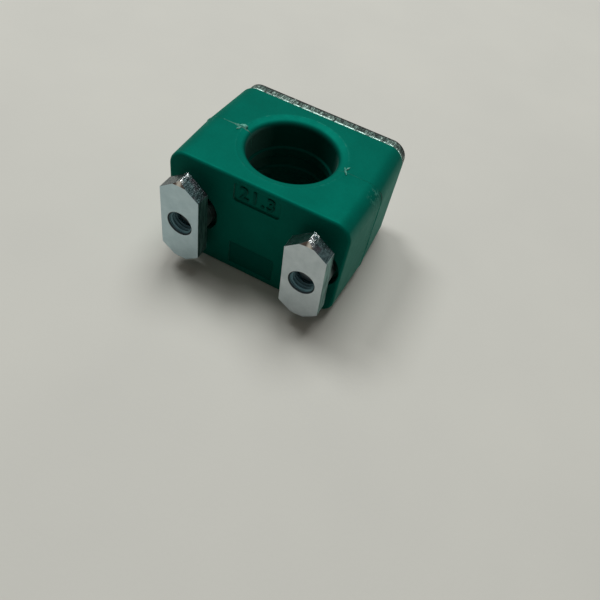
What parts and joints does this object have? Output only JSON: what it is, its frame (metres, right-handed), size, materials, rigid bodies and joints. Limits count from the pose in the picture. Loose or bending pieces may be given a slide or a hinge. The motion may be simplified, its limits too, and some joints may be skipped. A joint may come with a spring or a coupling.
{
  "type": "two-bolt tube clamp",
  "caption": "Split plastic clamp block for a hydraulic tube, with a steel cover plate, hexagon bolts and nuts that lock in a C-shaped mounting rail.",
  "frame": {"origin": "on the tube's axis, at the middle of the clamp's width", "axes": "+Z along the tube's axis and up, X from bolt to bolt, -Y towards the mounting rail and +Y towards the cover plate"},
  "size_m": [0.0484, 0.0473, 0.0304],
  "materials": {
    "clamp_plastic": "moulded green polypropylene",
    "cover_steel": "zinc-plated sheet with sheared edges",
    "bolt_steel": "zinc plated",
    "nut_steel": "zinc plated, matt"
  },
  "bodies": {
    "lower_half": {"lower_clamp_half": "clamp_plastic"},
    "upper_half": {"upper_clamp_half": "clamp_plastic", "cover_plate": "cover_steel"},
    "left_bolt": {"left_bolt": "bolt_steel"},
    "right_bolt": {"right_bolt": "bolt_steel"},
    "left_nut": {"left_rail_nut": "nut_steel"},
    "right_nut": {"right_rail_nut": "nut_steel"}
  },
  "joints": [
    {"name": "upper_half_lift", "type": "slide", "parent": "lower_half", "child": "upper_half", "axis": [0, 1, 0], "range_m": [0, 0.005]},
    {"name": "left_bolt_turn", "type": "hinge", "parent": "upper_half", "child": "left_bolt", "pos_m": [-0.0165, 0, 0], "axis": [0, 1, 0], "range_deg": [0, 1800]},
    {"name": "right_bolt_turn", "type": "hinge", "parent": "upper_half", "child": "right_bolt", "pos_m": [0.0165, 0, 0], "axis": [0, 1, 0], "range_deg": [0, 1800]},
    {"name": "left_nut_swivel", "type": "hinge", "parent": "lower_half", "child": "left_nut", "pos_m": [-0.0165, 0, 0], "axis": [0, 1, 0], "range_deg": [-90, 90]},
    {"name": "right_nut_swivel", "type": "hinge", "parent": "lower_half", "child": "right_nut", "pos_m": [0.0165, 0, 0], "axis": [0, 1, 0], "range_deg": [-90, 90]}
  ],
  "couplings": [
    {"joint": "left_bolt_turn", "follows": "upper_half_lift", "rad_per_m": 6283.2},
    {"joint": "right_bolt_turn", "follows": "upper_half_lift", "rad_per_m": 6283.2}
  ]
}
